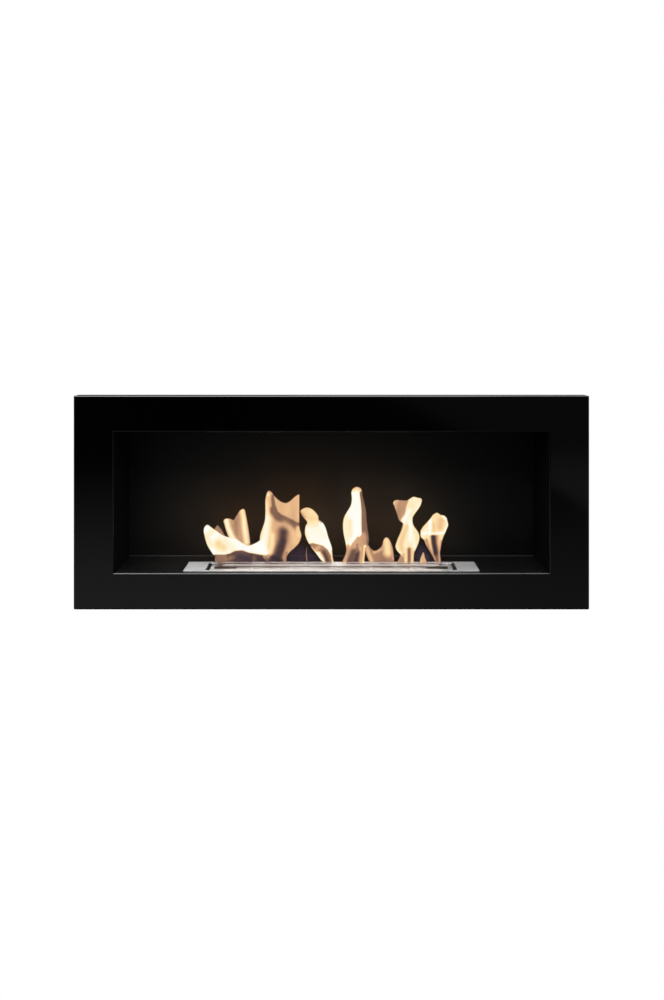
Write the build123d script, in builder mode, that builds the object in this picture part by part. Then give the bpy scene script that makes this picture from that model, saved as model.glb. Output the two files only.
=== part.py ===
from build123d import *
import os

# Wall-hung bioethanol fireplace: a gloss-black folded mask round a long, low firebox,
# a matt-black housing behind it, and a slotted stainless burner let into the firebox floor.
#
# Millimetres. +X is to the right seen from the room, +Y into the wall, +Z up. The wall is
# the plane Y = 0, and the origin is the middle of the wall rail's screw holes.

# ---------------------------------------------------------------- driving dimensions

# Front mask
opening_width = 760.0
opening_height = 246.0
side_border = 70.0
top_border = 64.0
frame_return = 25.0       # how far the outer edges are turned back
frame_sheet = 1.5
frame_bend = 2.5          # outside radius of every fold and of the welded, dressed corners
lip_depth = 6.0           # in-turned edge of the opening

# Housing behind the mask
housing_inset = 12.0      # from the mask's outside to the housing's outside
housing_sheet = 1.2
housing_bend = 2.2
rear_flange = 14.0
panel_sheet = 1.2
panel_reveal = 1.5        # the housing's edge that stays bare round the back panel
panel_corner = 4.0
wall_gap = 10.0           # the space that the rails and bumpers keep behind the panel

# Firebox
firebox_depth = 112.0     # from the front face to the back wall
liner_sheet = 1.2
liner_bend = 3.0          # inside radius between floor, back wall and ceiling
hem_height = 14.0
hem_bend = 2.0
cheek_sheet = 1.2
cheek_bend = 2.0
cheek_flange = 12.0
rear_air_gap = 6.4        # between the liner and the housing's rear flange

# Burner, worked out from the slot outwards
slot_length = 418.6
slot_width = 12.0
bridge_count = 5
bridge_width = 5.0
end_window = 64.0         # length of the slot's first and last windows
slot_end_margin = 7.2
container_height = 44.0
container_corner = 5.0
container_wall = 0.8
container_plate = 1.0
container_drop = 2.5      # how far the container's top lies below the surround's top
wool_setback = 11.3       # from the slot's end to the wool's
wool_depth_below_plate = 2.5
wool_edge = 2.0
shutter_sheet = 1.0
shutter_lap = 0.6         # by which the closed shutter covers each side of the slot
shutter_land = 1.2        # rear edge of the container behind the open shutter
knob_radius = 3.5
knob_height = 4.0
knob_inset = 13.0         # from the slot's end
knob_shank_radius = 1.5
knob_waist_radius = 2.0
knob_waist = 1.2
knob_edge = 1.0
rivet_radius = 1.0
rivet_head_radius = 1.9
rivet_head = 0.8
rivet_foot = 0.4
ear_rib = 1.5             # metal left round each guide slot in the shutter
rim_gap = 0.15            # weld gap between the top and the tub's wall

# Surround plate and burner well
surround_sheet = 1.5
surround_bend = 2.0
surround_flange = 15.0
flange_relief = 4.5       # unfolded stretch at each end of the cut-out
surround_end_margin = 38.0
surround_side_margin = 8.4
surround_corner = 1.0
burner_setback = 7.6      # from the front face to the surround's front edge
container_side_gap = 1.5
container_end_gap = 6.0
floor_cut_clearance = 0.75
well_sheet = 1.0
well_air_gap = 4.0
well_end_flange = 12.0
well_bend = 2.0

# Wall rail and hanger rail
rail_drop = 67.0          # from the mask's top down to the rail's screw holes
wall_rail_length = 700.0
wall_rail_sheet = 2.0
wall_rail_below = 20.0
wall_rail_shelf = 12.0    # height of the shelf above the screw holes
wall_rail_lip = 12.0
wall_screw_outer = 600.0  # hole to hole
wall_screw_inner = 300.0
wall_screw_hole = 3.5     # radius
hanger_end_inset = 10.0   # by which the hanger rail is shorter than the wall rail at each end
hanger_sheet = 1.5
hanger_plate = 18.0
hanger_hook = 10.0
hanger_bend = 2.5
hook_clearance = 1.2      # between the hanger's hook and the wall rail's lip
rail_front_gap = 2.0      # between the wall rail's lip and the back panel
rail_bend = 3.0
hanger_rivet_count = 6
hanger_rivet_end = 40.0   # from the hanger rail's end to its first rivet
hanger_rivet_radius = 2.0
hanger_rivet_head_radius = 3.6
hanger_rivet_head = 1.2
hanger_rivet_tail = 1.8
hanger_rivet_tail_radius = 3.0
bumper_radius = 10.0
bumper_taper = 1.5
bumper_inset = 55.0       # from the housing's side
bumper_height = 34.0      # above the housing's underside
bumper_edge = 1.0

# Fasteners and brackets
fastener_sides = 8        # small hidden fasteners and their holes are drawn as octagons
stud_radius = 2.0
stud_length = 10.0
stud_end_margin = 138.0   # from the housing's side to the nearest upper and lower studs
nut_across_flats = 7.0
nut_height = 3.2
thread_clearance = 0.05
screw_radius = 1.75
screw_length = 8.0
screw_head_radius = 3.6
screw_head = 2.2
screw_crown_radius = 2.4  # the flat on top of the head
screw_columns = 5
screw_end_margin = 38.0   # from the housing's side to the first column
bracket_width = 40.0
bracket_foot = 18.0
bracket_sheet = 1.5
bracket_bend = 2.5
upper_bracket_count = 3
upper_bracket_end = 94.2  # from the liner's end to the middle of the first bracket
lower_bracket_gap = 30.0  # from the well's end flange to the bracket
bracket_front = 52.0      # from the front face to the bracket's front foot

# Vents
vent_length = 40.0
vent_height = 5.0
vent_columns = 12
vent_end_margin = 77.0    # from the housing's side to the first vent
vent_row_gap = 12.0
low_vent_height = 22.0    # first low row above the housing's underside
high_vent_height = 218.0
housing_vent_setback = 30.0

# Clearances
touch_gap = 0.2           # between sheets that lie against each other
seat_gap = 0.3            # under pieces that are lifted out
slide_gap = 0.2           # under and over the shutter

# ---------------------------------------------------------------- levels and places

front_y = -(firebox_depth + liner_sheet + rear_air_gap + housing_sheet + panel_sheet + wall_gap)
plate_back_y = front_y + frame_sheet
back_wall_y = front_y + firebox_depth
panel_back_y = -wall_gap
panel_front_y = panel_back_y - panel_sheet

bottom_border = (
    housing_inset + housing_sheet + well_air_gap + well_sheet + seat_gap
    + container_height + container_drop - surround_sheet
)
frame_width = opening_width + 2 * side_border
frame_height = bottom_border + opening_height + top_border
top_z = rail_drop
base_z = top_z - frame_height
middle_z = (top_z + base_z) / 2
floor_z = base_z + bottom_border
ceiling_z = floor_z + opening_height
opening_z = (floor_z + ceiling_z) / 2

housing_width = frame_width - 2 * housing_inset
housing_height = frame_height - 2 * housing_inset
housing_top_z = top_z - housing_inset
housing_base_z = base_z + housing_inset
housing_gap = housing_inset - frame_sheet
frame_inner_bend = frame_bend - frame_sheet
front_flange = housing_gap - frame_inner_bend - touch_gap

hanger_z = wall_rail_shelf + wall_rail_lip
hanger_rivet_z = hanger_z + hanger_sheet + (hanger_plate - hanger_sheet) / 2
hanger_length = wall_rail_length - 2 * hanger_end_inset
hanger_rivet_pitch = (hanger_length - 2 * hanger_rivet_end) / (hanger_rivet_count - 1)
hanger_rivet_places = [((i - (hanger_rivet_count - 1) / 2) * hanger_rivet_pitch, hanger_rivet_z)
                       for i in range(hanger_rivet_count)]

shutter_width = slot_width + 2 * shutter_lap
shutter_travel = shutter_width
container_length = slot_length + 2 * slot_end_margin
container_width = 2 * (slot_width / 2 + shutter_lap + shutter_width + shutter_land)
surround_cut_length = container_length + 2 * container_end_gap
surround_cut_width = container_width + 2 * container_side_gap
surround_length = surround_cut_length + 2 * surround_end_margin
surround_width = surround_cut_width + 2 * surround_side_margin
burner_y = front_y + burner_setback + surround_width / 2
surround_top_z = floor_z + surround_sheet
container_top_z = surround_top_z - container_drop
container_base_z = container_top_z - container_height
floor_cut_length = surround_cut_length + 2 * floor_cut_clearance
floor_cut_width = surround_cut_width + 2 * (surround_sheet + floor_cut_clearance)
well_floor_z = container_base_z - seat_gap

print("mask", frame_width, "x", frame_height, "x", -front_y)
print("container", container_length, "x", container_width, "x", container_height)
print("surround", surround_length, "x", surround_width, "shutter travel", shutter_travel)


def upright(y):
    """The plane parallel to the wall at depth y, drawn with X to the right and Z up."""
    return Plane.XZ.offset(-y)


def level(z):
    """The horizontal plane at height z, drawn with X to the right and Y up the page."""
    return Plane.XY.offset(z)


def folded_sheet(path, radii, thickness, side):
    """The cross-section of a folded sheet: path is one face of it, thickness lies to one side."""
    with BuildSketch() as section:
        with BuildLine():
            FilletPolyline(*path, radius=radii)
            offset(amount=thickness, side=side)
        make_face()
    return section.sketch


os.makedirs("parts", exist_ok=True)

# ---------------------------------------------------------------- front mask

# One folded sheet: the face, four long returns, and the opening's in-turned lip.
with BuildPart() as front_frame:
    with BuildSketch(upright(front_y)):
        with Locations((0, middle_z)):
            Rectangle(frame_width, frame_height)
    extrude(amount=-frame_return)
    folds = front_frame.faces().sort_by(Axis.Y)[0].edges()
    fillet(folds + front_frame.edges().filter_by(Axis.Y), radius=frame_bend)
    offset(amount=-frame_sheet, openings=front_frame.faces().sort_by(Axis.Y)[-1])
    with BuildSketch(upright(plate_back_y)):
        with Locations((0, opening_z)):
            Rectangle(opening_width + 2 * frame_sheet, opening_height + 2 * frame_sheet)
    extrude(amount=frame_sheet - lip_depth)
    with BuildSketch(upright(front_y)):
        with Locations((0, opening_z)):
            Rectangle(opening_width, opening_height)
    extrude(amount=-frame_return, mode=Mode.SUBTRACT)
    front_face = front_frame.faces().filter_by(Axis.Y).sort_by(Axis.Y)[0]
    fillet(front_face.inner_wires().edges(), radius=frame_bend)
front_frame.part.label = "front_frame"
export_step(front_frame.part, "parts/front_frame.step")

# Weld studs on the back of the face, in the gap between the returns and the housing.
stud_span = housing_width / 2 - stud_end_margin
stud_column = housing_width / 2 + housing_gap / 2
stud_places = [(x * stud_span, z) for x in (-1, 0, 1)
               for z in (housing_base_z - housing_gap / 2, housing_top_z + housing_gap / 2)]
stud_places += [(-stud_column, middle_z), (stud_column, middle_z)]

with BuildPart() as frame_studs:
    with BuildSketch(upright(plate_back_y)):
        with Locations(*stud_places):
            RegularPolygon(stud_radius, fastener_sides)
    extrude(amount=-stud_length)
frame_studs.part.label = "frame_studs"
export_step(frame_studs.part, "parts/frame_studs.step")

with BuildPart() as frame_nuts:
    with BuildSketch(upright(plate_back_y + housing_sheet)):
        with Locations(*stud_places):
            RegularPolygon(nut_across_flats / 2, 6, major_radius=False)
            RegularPolygon(stud_radius + thread_clearance, fastener_sides, mode=Mode.SUBTRACT)
    extrude(amount=-nut_height)
frame_nuts.part.label = "frame_nuts"
export_step(frame_nuts.part, "parts/frame_nuts.step")

# ---------------------------------------------------------------- housing

vent_pitch = (housing_width - 2 * vent_end_margin - vent_length) / (vent_columns - 1)
screw_inset = rear_flange / 2
screw_pitch = (housing_width - 2 * screw_end_margin) / (screw_columns - 1)
screw_places = [((i - (screw_columns - 1) / 2) * screw_pitch, z) for i in range(screw_columns)
                for z in (housing_base_z + screw_inset, housing_top_z - screw_inset)]
screw_places += [(side * (housing_width / 2 - screw_inset), middle_z) for side in (-1, 1)]

# A wrap of four walls, flanged outwards at the front and inwards at the back.
with BuildPart() as rear_housing:
    with BuildSketch(upright(plate_back_y)):
        with Locations((0, middle_z)):
            Rectangle(housing_width, housing_height)
    extrude(amount=plate_back_y - panel_front_y)
    fillet(rear_housing.faces().sort_by(Axis.Y)[-1].edges(), radius=housing_bend)
    offset(amount=-housing_sheet, openings=rear_housing.faces().sort_by(Axis.Y)[0])
    with BuildSketch(upright(plate_back_y)):
        with Locations((0, middle_z)):
            Rectangle(housing_width + 2 * front_flange, housing_height + 2 * front_flange)
            Rectangle(housing_width - 2 * housing_sheet, housing_height - 2 * housing_sheet,
                      mode=Mode.SUBTRACT)
    extrude(amount=-housing_sheet)
    with BuildSketch(upright(panel_front_y)):
        with Locations((0, middle_z)):
            Rectangle(housing_width - 2 * rear_flange, housing_height - 2 * rear_flange)
    extrude(amount=2 * housing_sheet, mode=Mode.SUBTRACT)
    with BuildSketch(upright(plate_back_y)):
        with Locations(*stud_places):
            RegularPolygon(stud_radius + touch_gap, fastener_sides)
    extrude(amount=-housing_sheet, mode=Mode.SUBTRACT)
    with BuildSketch(upright(panel_front_y)):
        with Locations(*screw_places):
            RegularPolygon(screw_radius + thread_clearance, fastener_sides)
    extrude(amount=housing_sheet, mode=Mode.SUBTRACT)
    with BuildSketch(level(housing_base_z)):
        with Locations((0, panel_front_y - housing_vent_setback)):
            with GridLocations(vent_pitch, 0, vent_columns, 1):
                Rectangle(vent_length, vent_height)
    extrude(amount=housing_height, mode=Mode.SUBTRACT)
rear_housing.part.label = "rear_housing"
export_step(rear_housing.part, "parts/rear_housing.step")

# Flat cover with two low and two high rows of vents, screwed to the housing's rear flange.
with BuildPart() as back_panel:
    with BuildSketch(upright(panel_back_y)):
        with Locations((0, middle_z)):
            RectangleRounded(housing_width - 2 * panel_reveal, housing_height - 2 * panel_reveal,
                             panel_corner)
        for row_height in (low_vent_height, high_vent_height):
            with Locations((0, housing_base_z + row_height + vent_row_gap / 2)):
                with GridLocations(vent_pitch, vent_row_gap, vent_columns, 2):
                    Rectangle(vent_length, vent_height, mode=Mode.SUBTRACT)
        with Locations(*screw_places):
            RegularPolygon(screw_radius + thread_clearance, fastener_sides, mode=Mode.SUBTRACT)
        with Locations(*hanger_rivet_places):
            RegularPolygon(hanger_rivet_radius + thread_clearance, fastener_sides, mode=Mode.SUBTRACT)
    extrude(amount=panel_sheet)
back_panel.part.label = "back_panel"
export_step(back_panel.part, "parts/back_panel.step")

# Pan-head screws, modelled once and driven in from the wall side.
with BuildPart() as pan_screw:
    with BuildSketch(upright(0)):
        RegularPolygon(screw_radius, fastener_sides)
    extrude(amount=screw_length)
    with BuildSketch(upright(0)):
        RegularPolygon(screw_head_radius, fastener_sides)
    with BuildSketch(upright(screw_head)):
        RegularPolygon(screw_crown_radius, fastener_sides)
    loft(ruled=True)

with BuildPart() as back_panel_screws:
    with Locations(*[(x, panel_back_y, z) for x, z in screw_places]):
        add(pan_screw.part)
back_panel_screws.part.label = "back_panel_screws"
export_step(back_panel_screws.part, "parts/back_panel_screws.step")

# ---------------------------------------------------------------- firebox

liner_front_y = front_y + lip_depth + touch_gap
liner_width = opening_width + 2 * (cheek_flange + touch_gap)

# Floor, back wall and ceiling folded from one sheet, hemmed down and up behind the mask.
with BuildPart() as firebox_liner:
    with BuildSketch(Plane.YZ):
        add(folded_sheet(
            [(liner_front_y, floor_z - hem_height), (liner_front_y, floor_z),
             (back_wall_y, floor_z), (back_wall_y, ceiling_z),
             (liner_front_y, ceiling_z), (liner_front_y, ceiling_z + hem_height)],
            [hem_bend, liner_bend, liner_bend, hem_bend], liner_sheet, Side.RIGHT))
    extrude(amount=liner_width / 2, both=True)
    with BuildSketch(level(floor_z)):
        with Locations((0, burner_y)):
            Rectangle(floor_cut_length, floor_cut_width)
    extrude(amount=-liner_sheet, mode=Mode.SUBTRACT)
firebox_liner.part.label = "firebox_liner"
export_step(firebox_liner.part, "parts/firebox_liner.step")

# Each cheek is a channel. Its two flanges are turned away from the fire: the rear one is
# spot-welded to the back wall, and the front one stands behind the mask's lip.
cheek_rear_y = back_wall_y - touch_gap
cheek_x = opening_width / 2

with BuildPart() as firebox_cheek_right:
    with BuildSketch(level(floor_z)):
        add(folded_sheet(
            [(cheek_x + cheek_flange, liner_front_y), (cheek_x, liner_front_y),
             (cheek_x, cheek_rear_y), (cheek_x + cheek_flange, cheek_rear_y)],
            [cheek_bend, cheek_bend], cheek_sheet, Side.RIGHT))
    extrude(amount=opening_height)
    with BuildSketch(Plane.YZ.offset(cheek_x)):
        with Locations(((liner_front_y + cheek_rear_y) / 2, opening_z)):
            RectangleRounded(cheek_rear_y - liner_front_y, opening_height - 2 * touch_gap,
                             liner_bend + touch_gap)
    extrude(amount=cheek_flange, mode=Mode.INTERSECT)
firebox_cheek_right.part.label = "firebox_cheek_right"
export_step(firebox_cheek_right.part, "parts/firebox_cheek_right.step")

with BuildPart() as firebox_cheek_left:
    add(mirror(firebox_cheek_right.part, about=Plane.YZ, mode=Mode.PRIVATE))
firebox_cheek_left.part.label = "firebox_cheek_left"
export_step(firebox_cheek_left.part, "parts/firebox_cheek_left.step")


def bracket_section(low_z, high_z):
    """A Z-bracket between two levels: a front foot below, a web and a rear foot above."""
    foot_y = front_y + bracket_front
    web_y = foot_y + bracket_foot
    return folded_sheet(
        [(foot_y, low_z), (web_y, low_z), (web_y, high_z - bracket_sheet),
         (web_y + bracket_foot, high_z - bracket_sheet)],
        [bracket_bend, bracket_bend - bracket_sheet], bracket_sheet, Side.LEFT)


upper_bracket_pitch = (liner_width - 2 * upper_bracket_end) / (upper_bracket_count - 1)

# The liner hangs between brackets to the housing's top and stands on two from its bottom.
with BuildPart() as liner_brackets_upper:
    for i in range(upper_bracket_count):
        centre_x = (i - (upper_bracket_count - 1) / 2) * upper_bracket_pitch
        with BuildSketch(Plane.YZ.offset(centre_x - bracket_width / 2)):
            add(bracket_section(ceiling_z + liner_sheet, housing_top_z - housing_sheet))
        extrude(amount=bracket_width)
liner_brackets_upper.part.label = "liner_brackets_upper"
export_step(liner_brackets_upper.part, "parts/liner_brackets_upper.step")

with BuildPart() as liner_brackets_lower:
    for side in (-1, 1):
        centre_x = side * (floor_cut_length / 2 + well_end_flange + lower_bracket_gap + bracket_width / 2)
        with BuildSketch(Plane.YZ.offset(centre_x - bracket_width / 2)):
            add(bracket_section(housing_base_z + housing_sheet, floor_z - liner_sheet))
        extrude(amount=bracket_width)
liner_brackets_lower.part.label = "liner_brackets_lower"
export_step(liner_brackets_lower.part, "parts/liner_brackets_lower.step")

# ---------------------------------------------------------------- burner well and surround

# A folded trough hung under the floor by its end flanges. It carries the fuel container.
well_outer_length = floor_cut_length + 2 * well_sheet
well_outer_width = floor_cut_width + 2 * well_sheet
well_rim_z = floor_z - liner_sheet

with BuildPart() as burner_well:
    with BuildSketch(level(well_rim_z)):
        with Locations((0, burner_y)):
            Rectangle(well_outer_length, well_outer_width)
    extrude(amount=well_floor_z - well_sheet - well_rim_z)
    fillet(burner_well.faces().sort_by(Axis.Z)[0].edges(), radius=well_bend)
    offset(amount=-well_sheet, openings=burner_well.faces().sort_by(Axis.Z)[-1])
    with BuildSketch(level(well_rim_z)):
        for side in (-1, 1):
            with Locations((side * (well_outer_length - well_sheet + well_end_flange) / 2, burner_y)):
                Rectangle(well_end_flange + well_sheet, well_outer_width)
    extrude(amount=-well_sheet)
burner_well.part.label = "burner_well"
export_step(burner_well.part, "parts/burner_well.step")

# The stainless surround lies on the floor. Its cut-out's long edges are folded down into the
# well, and stop short of the corners.
fold_length = surround_cut_length - 2 * flange_relief
cut_front_y = burner_y - surround_cut_width / 2

with BuildPart() as burner_surround:
    with BuildSketch(Plane.YZ):
        add(folded_sheet(
            [(burner_y - surround_width / 2, surround_top_z), (cut_front_y, surround_top_z),
             (cut_front_y, surround_top_z - surround_flange)],
            [surround_bend], surround_sheet, Side.RIGHT))
    extrude(amount=fold_length / 2, both=True)
    mirror(about=Plane.XZ.offset(-burner_y))
    with BuildSketch(level(surround_top_z)):
        with Locations((0, burner_y)):
            RectangleRounded(surround_length, surround_width, surround_corner)
            Rectangle(fold_length, surround_width, mode=Mode.SUBTRACT)
            Rectangle(surround_cut_length, surround_cut_width, mode=Mode.SUBTRACT)
    extrude(amount=-surround_sheet)
burner_surround.part.label = "burner_surround"
export_step(burner_surround.part, "parts/burner_surround.step")

# ---------------------------------------------------------------- fuel container

tub_inner_length = container_length - 2 * container_wall
tub_inner_width = container_width - 2 * container_wall
plate_base_z = container_top_z - container_plate
shutter_base_z = container_top_z + slide_gap
shutter_rest_y = burner_y + slot_width / 2 + shutter_lap + shutter_width / 2
bridge_pitch = (slot_length - 2 * end_window - bridge_width) / (bridge_count - 1)

# The shutter's ears ride on two shouldered rivets beyond the slot's ends.
rivet_slot_width = 2 * (rivet_radius + thread_clearance)
guide_length = shutter_travel + rivet_slot_width + 2 * slide_gap
ear_length = guide_length + 2 * ear_rib
ear_width = rivet_slot_width + 2 * ear_rib
ear_x = slot_length / 2 + (slot_end_margin - container_wall) / 2
ear_y = shutter_rest_y + (shutter_width - ear_length) / 2
rivet_y = ear_y + (rivet_slot_width - guide_length) / 2 + slide_gap

with BuildPart() as container_tub:
    with BuildSketch(level(container_base_z)):
        with Locations((0, burner_y)):
            RectangleRounded(container_length, container_width, container_corner)
    extrude(amount=container_height)
    offset(amount=-container_wall, openings=container_tub.faces().sort_by(Axis.Z)[-1])
container_tub.part.label = "container_tub"
export_step(container_tub.part, "parts/container_tub.step")

# The slotted top is welded in flush with the tub's rim. Bridges part the slot's windows.
with BuildPart() as container_top:
    with BuildSketch(level(container_top_z)):
        with Locations((0, burner_y)):
            RectangleRounded(tub_inner_length - 2 * rim_gap, tub_inner_width - 2 * rim_gap,
                             container_corner - container_wall - rim_gap)
            Rectangle(slot_length, slot_width, mode=Mode.SUBTRACT)
            with GridLocations(bridge_pitch, 0, bridge_count, 1):
                Rectangle(bridge_width, slot_width)
        with Locations((-ear_x, rivet_y), (ear_x, rivet_y)):
            RegularPolygon(rivet_radius + thread_clearance, fastener_sides, mode=Mode.SUBTRACT)
    extrude(amount=-container_plate)
container_top.part.label = "container_top"
export_step(container_top.part, "parts/container_top.step")

# Ceramic wool soaks up the fuel. It stops short of the slot's two ends.
wool_base_z = container_base_z + container_wall + seat_gap
wool_length = slot_length - 2 * wool_setback
wool_height = plate_base_z - wool_depth_below_plate - wool_base_z

with BuildPart() as ceramic_wool:
    with BuildSketch(level(wool_base_z)):
        with Locations((0, burner_y)):
            Rectangle(wool_length, tub_inner_width - 2 * seat_gap)
    extrude(amount=wool_height)
    fillet(ceramic_wool.edges().group_by(Axis.Z)[-1], radius=wool_edge)
ceramic_wool.part.label = "ceramic_wool"
export_step(ceramic_wool.part, "parts/ceramic_wool.step")

# The shutter rests open on the land behind the slot, and slides forward to smother the flame.
with BuildPart() as shutter:
    with BuildSketch(level(shutter_base_z)):
        with Locations((0, shutter_rest_y)):
            Rectangle(2 * ear_x, shutter_width)
        with Locations((-ear_x, ear_y), (ear_x, ear_y)):
            Rectangle(ear_width, ear_length)
            SlotOverall(guide_length, rivet_slot_width, rotation=90, mode=Mode.SUBTRACT)
        with Locations((slot_length / 2 - knob_inset, shutter_rest_y)):
            Circle(knob_shank_radius + thread_clearance, mode=Mode.SUBTRACT)
    extrude(amount=shutter_sheet)
shutter.part.label = "shutter"
export_step(shutter.part, "parts/shutter.step")

# A mushroom knob for the lighting tool's hook, riveted through the shutter.
with BuildPart() as shutter_knob:
    with BuildSketch(Plane.XZ):
        with BuildLine():
            Polyline((0, 0), (knob_shank_radius, 0), (knob_shank_radius, shutter_sheet),
                     (knob_waist_radius, shutter_sheet), (knob_waist_radius, shutter_sheet + knob_waist),
                     (knob_radius, shutter_sheet + knob_waist + knob_edge),
                     (knob_radius, shutter_sheet + knob_height - knob_edge),
                     (knob_radius - knob_edge, shutter_sheet + knob_height),
                     (0, shutter_sheet + knob_height), (0, 0))
        make_face()
    revolve(axis=Axis.Z)
shutter_knob.part.locate(Location((slot_length / 2 - knob_inset, shutter_rest_y, shutter_base_z)))
shutter_knob.part.label = "shutter_knob"
export_step(shutter_knob.part, "parts/shutter_knob.step")

# Shouldered rivets: a foot under the container's top, and a head above the shutter.
rivet_foot_z = plate_base_z - rivet_foot
rivet_head_z = shutter_base_z + shutter_sheet + slide_gap

with BuildPart() as shutter_rivets:
    for step_base, step_top, step_radius in (
            (rivet_foot_z, plate_base_z, rivet_head_radius),
            (plate_base_z, rivet_head_z, rivet_radius),
            (rivet_head_z, rivet_head_z + rivet_head, rivet_head_radius)):
        with BuildSketch(level(step_base)):
            with Locations((-ear_x, rivet_y), (ear_x, rivet_y)):
                RegularPolygon(step_radius, fastener_sides)
        extrude(amount=step_top - step_base)
shutter_rivets.part.label = "shutter_rivets"
export_step(shutter_rivets.part, "parts/shutter_rivets.step")

# ---------------------------------------------------------------- wall fixing

rail_reach = wall_gap - rail_front_gap - wall_rail_sheet
hook_y = hook_clearance - rail_reach

# The wall rail is screwed to the wall, and its lip stands up clear of it.
with BuildPart() as wall_rail:
    with BuildSketch(Plane.YZ):
        add(folded_sheet(
            [(0, -wall_rail_below), (0, wall_rail_shelf), (-rail_reach, wall_rail_shelf),
             (-rail_reach, wall_rail_shelf + wall_rail_lip)],
            [rail_bend, rail_bend - wall_rail_sheet], wall_rail_sheet, Side.LEFT))
    extrude(amount=wall_rail_length / 2, both=True)
    with BuildSketch(upright(0)):
        for spacing in (wall_screw_outer, wall_screw_inner):
            with GridLocations(spacing, 0, 2, 1):
                Circle(wall_screw_hole)
    extrude(amount=wall_rail_sheet, mode=Mode.SUBTRACT)
wall_rail.part.label = "wall_rail"
export_step(wall_rail.part, "parts/wall_rail.step")

# The hanger rail on the back panel hooks down behind that lip.
with BuildPart() as hanger_rail:
    with BuildSketch(Plane.YZ):
        add(folded_sheet(
            [(panel_back_y, hanger_z + hanger_plate), (panel_back_y, hanger_z),
             (hook_y, hanger_z), (hook_y, hanger_z - hanger_hook)],
            [hanger_bend, hanger_bend - hanger_sheet], hanger_sheet, Side.LEFT))
    extrude(amount=hanger_length / 2, both=True)
    with BuildSketch(upright(panel_back_y)):
        with Locations(*hanger_rivet_places):
            RegularPolygon(hanger_rivet_radius + thread_clearance, fastener_sides)
    extrude(amount=-hanger_sheet, mode=Mode.SUBTRACT)
hanger_rail.part.label = "hanger_rail"
export_step(hanger_rail.part, "parts/hanger_rail.step")

# Blind rivets: a head on the rail, a shank through both sheets and a set tail inside the panel.
rivet_back_y = panel_back_y + hanger_sheet

with BuildPart() as hanger_rivets:
    for start_y, end_y, step_radius in (
            (rivet_back_y + hanger_rivet_head, rivet_back_y, hanger_rivet_head_radius),
            (rivet_back_y, panel_front_y, hanger_rivet_radius),
            (panel_front_y, panel_front_y - hanger_rivet_tail, hanger_rivet_tail_radius)):
        with BuildSketch(upright(start_y)):
            with Locations(*hanger_rivet_places):
                RegularPolygon(step_radius, fastener_sides)
        extrude(amount=start_y - end_y)
hanger_rivets.part.label = "hanger_rivets"
export_step(hanger_rivets.part, "parts/hanger_rivets.step")

# Two rubber bumpers keep the lower edge off the wall, so that the mask hangs plumb.
with BuildPart() as wall_bumpers:
    for side in (-1, 1):
        bumper_place = (side * (housing_width / 2 - bumper_inset), housing_base_z + bumper_height)
        with BuildSketch(upright(panel_back_y)):
            with Locations(bumper_place):
                Circle(bumper_radius)
        with BuildSketch(upright(0)):
            with Locations(bumper_place):
                Circle(bumper_radius - bumper_taper)
        loft()
    chamfer(wall_bumpers.edges().group_by(Axis.Y)[-1], length=bumper_edge)
wall_bumpers.part.label = "wall_bumpers"
export_step(wall_bumpers.part, "parts/wall_bumpers.step")
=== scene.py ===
# %% [markdown]
# # Dressing a wall-hung bioethanol fireplace
#
# The fireplace is a black enamelled mask round a long, low firebox, with a stainless burner
# let into its floor. Its metalwork arrives already measured and in place. What is left for
# Blender is how each surface looks, the small turned pieces that deserve a rounder form, and
# the flames. Everything below is in metres: X to the right, Y into the wall, Z up.

# %% Load the measured metalwork
import math

import bpy
from mathutils import Matrix, Vector


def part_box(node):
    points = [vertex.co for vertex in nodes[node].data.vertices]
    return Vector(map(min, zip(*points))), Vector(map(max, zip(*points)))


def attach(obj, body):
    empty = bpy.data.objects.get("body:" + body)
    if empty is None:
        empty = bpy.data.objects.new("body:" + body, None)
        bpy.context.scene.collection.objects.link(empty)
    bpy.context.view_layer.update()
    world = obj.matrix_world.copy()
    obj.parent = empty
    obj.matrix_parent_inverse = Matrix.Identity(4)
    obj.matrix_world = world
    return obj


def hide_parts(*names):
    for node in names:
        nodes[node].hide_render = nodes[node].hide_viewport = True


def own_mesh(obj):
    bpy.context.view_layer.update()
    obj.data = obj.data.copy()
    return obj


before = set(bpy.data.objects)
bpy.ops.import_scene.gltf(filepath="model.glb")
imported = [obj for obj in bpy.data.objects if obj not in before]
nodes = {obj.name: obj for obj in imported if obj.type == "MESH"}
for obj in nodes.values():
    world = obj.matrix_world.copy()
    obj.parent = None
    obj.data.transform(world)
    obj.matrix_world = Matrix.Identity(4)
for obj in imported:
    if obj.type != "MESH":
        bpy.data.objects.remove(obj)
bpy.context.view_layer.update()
mm = 0.001


def let_go():
    """Deselects everything, because an operator acts on all that is selected."""
    bpy.ops.object.select_all(action="DESELECT")


let_go()

# %% [markdown]
# ## The camera
#
# A product photograph of a wide, flat object is taken level, so that its uprights stay
# upright. The lens then looks straight ahead and is shifted down, instead of being tilted.
# The distance is read from the firebox: its back wall looks 0.926 times as large as its front,
# which a 112 mm deep box does from 1.4 m away.

# %% Place the camera
mask_low, mask_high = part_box("front_frame")
camera_distance = 1.402
camera_height = 0.0929  # above the mask's top edge
focal_length = 28.945   # millimetres, on a sensor 36 mm wide
lens_shift = -0.1576    # a share of the picture's longer side

bpy.ops.object.camera_add(
    location=(0.001, mask_low.y - camera_distance, mask_high.z + camera_height),
    rotation=(math.pi / 2, 0, 0))
camera = bpy.context.object
camera.name = "photo_camera"
camera.data.lens = focal_length
camera.data.sensor_width = 36
camera.data.shift_y = lens_shift
camera.data.clip_start = 0.01
camera.data.clip_end = 50
bpy.context.scene.camera = camera
bpy.context.scene.view_settings.view_transform = "Standard"
print("camera at", [round(v, 3) for v in camera.location])

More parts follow.
